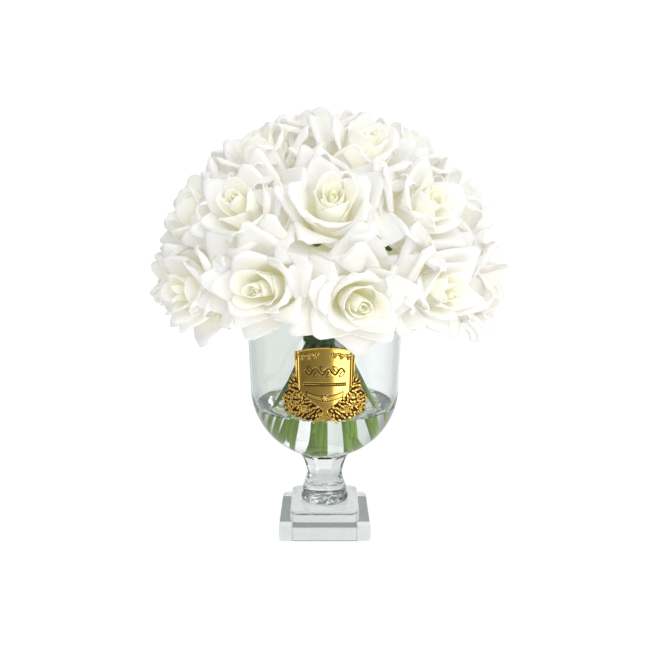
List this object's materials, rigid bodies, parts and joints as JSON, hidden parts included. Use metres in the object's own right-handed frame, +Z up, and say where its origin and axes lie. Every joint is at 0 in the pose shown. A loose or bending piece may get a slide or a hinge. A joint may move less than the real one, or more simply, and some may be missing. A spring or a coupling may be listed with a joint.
{
  "type": "rose arrangement in a crystal urn vase",
  "caption": "Clear crystal urn vase on a cut pedestal and square foot, holding a dome of white artificial roses set in clear resin, with a gilt badge on the front.",
  "frame": {"origin": "centre of the square foot's underside, where the vase stands", "axes": "+Z up through the pedestal and bowl; -Y the front, where the badge is; +X to the right as seen from the front"},
  "size_m": [0.3407, 0.3418, 0.4371],
  "materials": {
    "crystal_glass": "fire-polished, clear",
    "clear_glue": "clear",
    "clear_resin": "clear, poured level",
    "gilt_brass": "gilt, with dark patina in the relief",
    "white_foam": "matt foam",
    "floral_tape": "waxed crepe",
    "petal_white": "soft, matt",
    "stem_green": "satin"
  },
  "bodies": {
    "root": {"badge_pad": "white_foam", "bowl": "crystal_glass", "bowl_glue": "clear_glue", "cut_pedestal": "crystal_glass", "foot_glue": "clear_glue", "gold_badge": "gilt_brass", "resin_water": "clear_resin", "rose_01": "petal_white", "rose_02": "petal_white", "rose_03": "petal_white", "rose_04": "petal_white", "rose_05": "petal_white", "rose_06": "petal_white", "rose_07": "petal_white", "rose_08": "petal_white", "rose_09": "petal_white", "rose_10": "petal_white", "rose_11": "petal_white", "rose_12": "petal_white", "rose_13": "petal_white", "rose_14": "petal_white", "rose_15": "petal_white", "rose_16": "petal_white", "rose_17": "petal_white", "rose_18": "petal_white", "rose_19": "petal_white", "rose_20": "petal_white", "rose_21": "petal_white", "rose_22": "petal_white", "rose_23": "petal_white", "rose_24": "petal_white", "rose_25": "petal_white", "square_foot": "crystal_glass", "stem_01": "stem_green", "stem_02": "stem_green", "stem_03": "stem_green", "stem_04": "stem_green", "stem_05": "stem_green", "stem_06": "stem_green", "stem_07": "stem_green", "stem_08": "stem_green", "stem_09": "stem_green", "stem_10": "stem_green", "stem_11": "stem_green", "stem_12": "stem_green", "stem_13": "stem_green", "stem_14": "stem_green", "stem_15": "stem_green", "stem_16": "stem_green", "stem_17": "stem_green", "stem_18": "stem_green", "stem_19": "stem_green", "stem_20": "stem_green", "stem_21": "stem_green", "stem_22": "stem_green", "stem_23": "stem_green", "stem_24": "stem_green", "stem_25": "stem_green", "stem_tie": "floral_tape"}
  },
  "joints": []
}
